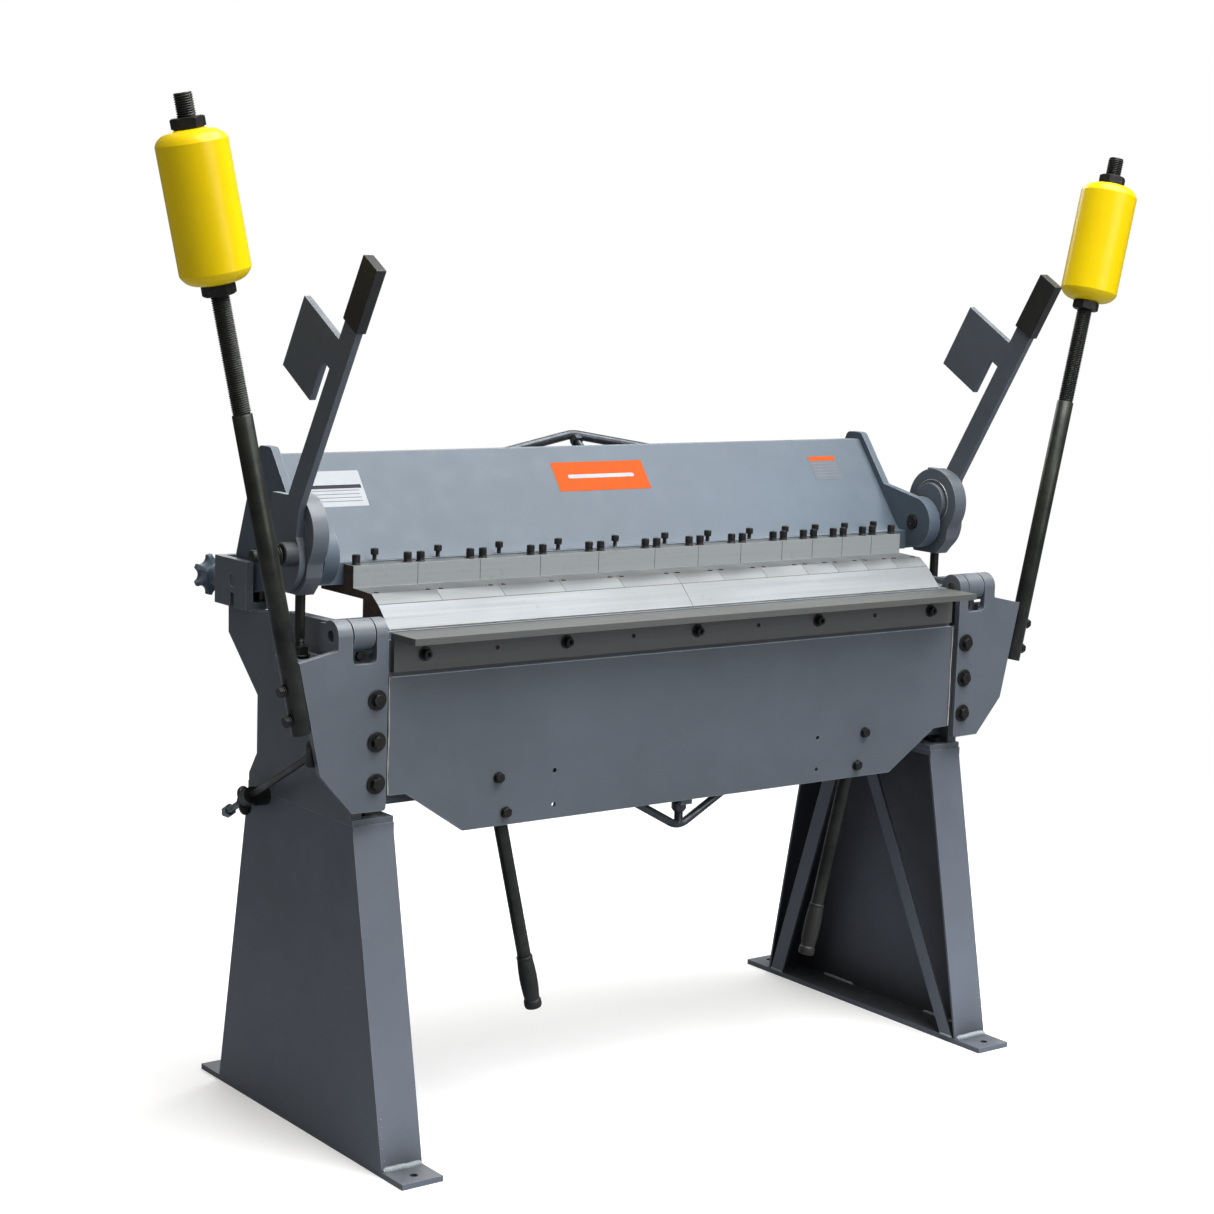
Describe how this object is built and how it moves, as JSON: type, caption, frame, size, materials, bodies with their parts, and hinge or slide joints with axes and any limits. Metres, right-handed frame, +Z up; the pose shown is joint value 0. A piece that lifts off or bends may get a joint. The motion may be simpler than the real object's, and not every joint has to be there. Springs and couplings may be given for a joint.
{
  "type": "sheet metal brake",
  "caption": "Floor-standing box-and-pan sheet metal brake with segmented clamping fingers, a hinged bending leaf, counterweight arms and twin clamp handles.",
  "frame": {"origin": "on the floor, at the centre of the four anchor holes", "axes": "+X to the operator's right, +Y to the rear, +Z up"},
  "size_m": [2.112, 0.701, 1.7183],
  "materials": {
    "frame_paint": "satin blue-grey",
    "leaf_paint": "satin blue-grey",
    "beam_paint": "satin blue-grey, lighter",
    "knob_paint": "satin grey",
    "ground_steel": "ground",
    "black_steel": "semi-gloss black",
    "black_fasteners": "black oxide",
    "grips": "matt",
    "yellow_weights": "gloss yellow"
  },
  "bodies": {
    "frame": {"stand_left": "frame_paint", "stand_right": "frame_paint", "side_frame_left": "frame_paint", "side_frame_right": "frame_paint", "bed_beam": "frame_paint", "frame_bolts": "black_fasteners", "stop_swivel": "black_steel"},
    "leaf": {"apron_plate": "leaf_paint", "leaf_backing": "leaf_paint", "bending_angle": "ground_steel", "angle_screws": "black_fasteners", "hinge_plate_left": "leaf_paint", "hinge_plate_right": "leaf_paint", "hinge_pins": "ground_steel", "plate_bolts": "black_fasteners", "pull_bolts": "black_fasteners", "leaf_truss": "frame_paint", "pull_handles": "black_steel", "pull_grips": "grips", "counterweight_rods": "black_steel", "rod_bolts": "black_fasteners"},
    "weight_left": {"counterweight_left": "yellow_weights", "weight_nuts_left": "black_fasteners"},
    "weight_right": {"counterweight_right": "yellow_weights", "weight_nuts_right": "black_fasteners"},
    "carriage": {"pivot_blocks": "ground_steel", "pivot_pins": "ground_steel"},
    "knob_left": {"setback_knob_left": "knob_paint"},
    "knob_right": {"setback_knob_right": "knob_paint"},
    "beam": {"upper_beam": "beam_paint", "end_plate_left": "beam_paint", "end_plate_right": "beam_paint", "finger_01": "ground_steel", "finger_02": "ground_steel", "finger_03": "ground_steel", "finger_04": "ground_steel", "finger_05": "ground_steel", "finger_06": "ground_steel", "finger_07": "ground_steel", "finger_08": "ground_steel", "finger_09": "ground_steel", "finger_10": "ground_steel", "finger_11": "ground_steel", "finger_12": "ground_steel", "nose_bar_left": "ground_steel", "nose_bar_right": "ground_steel", "clamp_screws": "black_fasteners", "beam_truss": "frame_paint"},
    "handle_left": {"clamp_handle_left": "frame_paint", "handle_grip_left": "grips", "lock_pin_left": "black_steel"},
    "handle_right": {"clamp_handle_right": "frame_paint", "handle_grip_right": "grips"},
    "link_left": {"clamp_ring_left": "frame_paint", "link_rod_left": "black_steel"},
    "link_right": {"clamp_ring_right": "frame_paint", "link_rod_right": "black_steel"},
    "stop_rod": {"stop_rod": "black_steel"},
    "stop_lever": {"stop_lever": "black_steel"}
  },
  "joints": [
    {"name": "apron_swing", "type": "hinge", "parent": "frame", "child": "leaf", "pos_m": [0, -0.174, 0.88], "axis": [-1, 0, 0], "range_deg": [0, 135]},
    {"name": "weight_left_slide", "type": "slide", "parent": "leaf", "child": "weight_left", "axis": [-0.2147, 0, 0.9767], "range_m": [-0.16, 0.03]},
    {"name": "weight_right_slide", "type": "slide", "parent": "leaf", "child": "weight_right", "axis": [0.2147, 0, 0.9767], "range_m": [-0.16, 0.03]},
    {"name": "setback_slide", "type": "slide", "parent": "frame", "child": "carriage", "axis": [0, 1, 0], "range_m": [-0.008, 0.01]},
    {"name": "knob_left_spin", "type": "hinge", "parent": "carriage", "child": "knob_left", "pos_m": [-0.6755, 0.345, 0.912], "axis": [0, 1, 0], "range_deg": [-720, 900]},
    {"name": "knob_right_spin", "type": "hinge", "parent": "carriage", "child": "knob_right", "pos_m": [0.6755, 0.345, 0.912], "axis": [0, 1, 0], "range_deg": [-720, 900]},
    {"name": "beam_lift", "type": "hinge", "parent": "carriage", "child": "beam", "pos_m": [0, 0.221, 0.918], "axis": [1, 0, 0], "range_deg": [-7, 0]},
    {"name": "handle_left_swing", "type": "hinge", "parent": "beam", "child": "handle_left", "pos_m": [-0.715, -0.032, 0.992], "axis": [1, 0, 0], "range_deg": [0, 65.5]},
    {"name": "link_left_swing", "type": "hinge", "parent": "handle_left", "child": "link_left", "pos_m": [-0.721, -0.046, 1.032], "axis": [1, 0, 0], "range_deg": [-54, 0]},
    {"name": "handle_right_swing", "type": "hinge", "parent": "beam", "child": "handle_right", "pos_m": [0.715, -0.032, 0.992], "axis": [1, 0, 0], "range_deg": [0, 65.5]},
    {"name": "link_right_swing", "type": "hinge", "parent": "handle_right", "child": "link_right", "pos_m": [0.721, -0.046, 1.032], "axis": [1, 0, 0], "range_deg": [-54, 0]},
    {"name": "stop_rod_slide", "type": "slide", "parent": "frame", "child": "stop_rod", "axis": [0.1425, 0.9014, -0.4089], "range_m": [0, 0.06]},
    {"name": "stop_lever_spin", "type": "hinge", "parent": "frame", "child": "stop_lever", "pos_m": [-0.71886, 0.13583, 0.549], "axis": [0.1425, 0.9014, -0.4089], "continuous": true}
  ],
  "couplings": [
    {"joint": "knob_left_spin", "follows": "setback_slide", "rad_per_m": 1570.8},
    {"joint": "knob_right_spin", "follows": "setback_slide", "rad_per_m": 1570.8},
    {"joint": "handle_left_swing", "follows": "beam_lift", "ratio": -9.343},
    {"joint": "link_left_swing", "follows": "beam_lift", "ratio": 7.7},
    {"joint": "handle_right_swing", "follows": "beam_lift", "ratio": -9.343},
    {"joint": "link_right_swing", "follows": "beam_lift", "ratio": 7.7}
  ]
}
